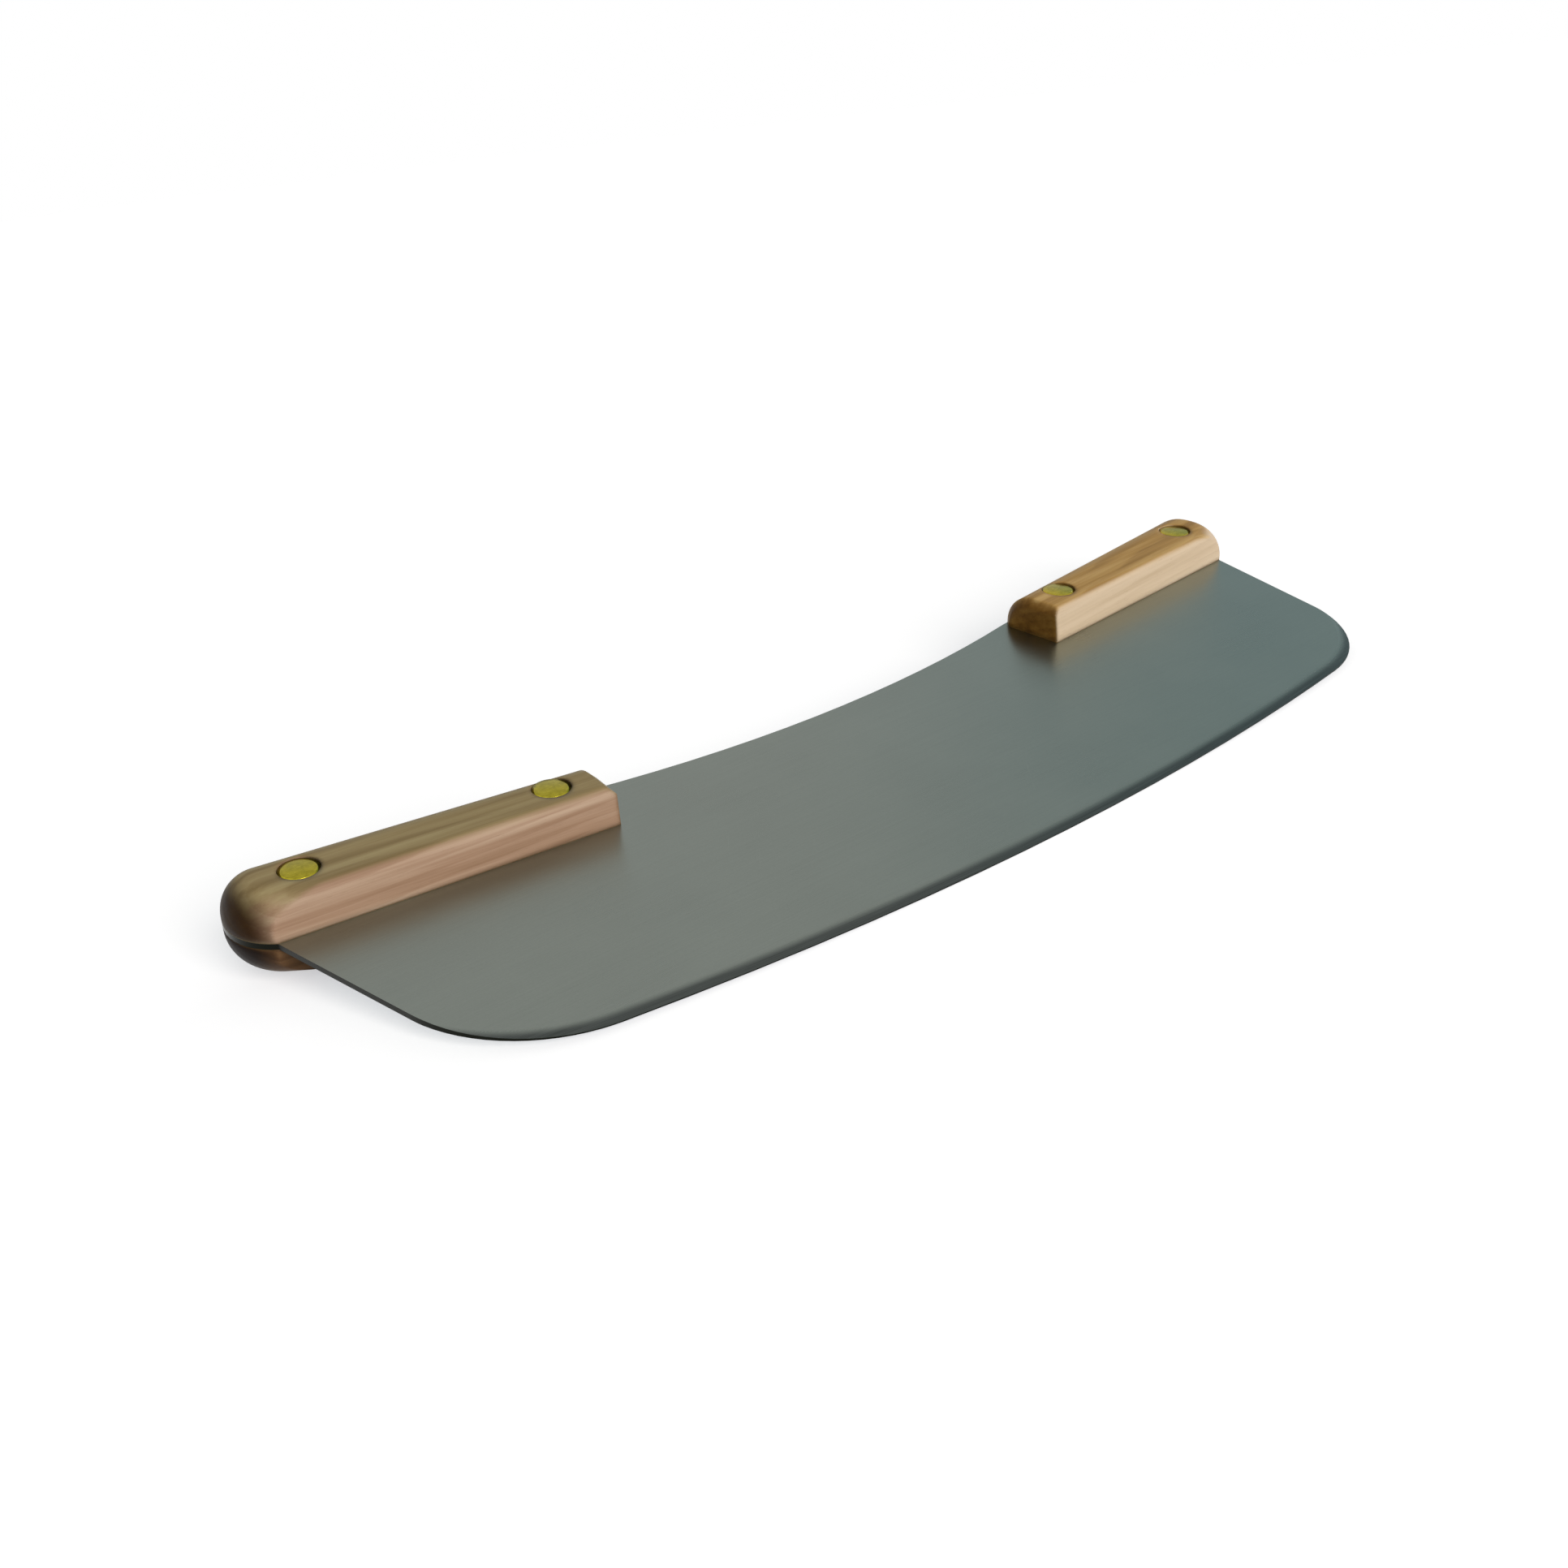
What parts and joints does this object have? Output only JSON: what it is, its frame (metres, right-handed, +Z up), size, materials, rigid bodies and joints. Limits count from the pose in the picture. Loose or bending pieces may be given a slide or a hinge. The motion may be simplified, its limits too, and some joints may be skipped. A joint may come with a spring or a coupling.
{
  "type": "rocking pizza knife",
  "caption": "Rocking pizza knife: broad curved steel blade with a riveted wooden grip at each end of its back, for cutting a pizza by rocking it with both hands",
  "frame": {"origin": "centre of the bottom of the bounding box, on the worktop, as the knife lies at rest on the inner front corners of its lower scales and on the middle of its cutting edge", "axes": "+X along the knife to the right-hand grip, +Y towards its back, +Z up; the blade leans forward by 8 degrees about X"},
  "size_m": [0.3536, 0.1076, 0.0254],
  "materials": {
    "steel": "satin",
    "wood": "oiled",
    "brass": "satin"
  },
  "bodies": {
    "root": {"blade": "steel", "left_upper_scale": "wood", "left_lower_scale": "wood", "right_upper_scale": "wood", "right_lower_scale": "wood", "left_inner_rivet_male": "brass", "left_inner_rivet_female": "brass", "left_outer_rivet_male": "brass", "left_outer_rivet_female": "brass", "right_inner_rivet_male": "brass", "right_inner_rivet_female": "brass", "right_outer_rivet_male": "brass", "right_outer_rivet_female": "brass"}
  },
  "joints": []
}
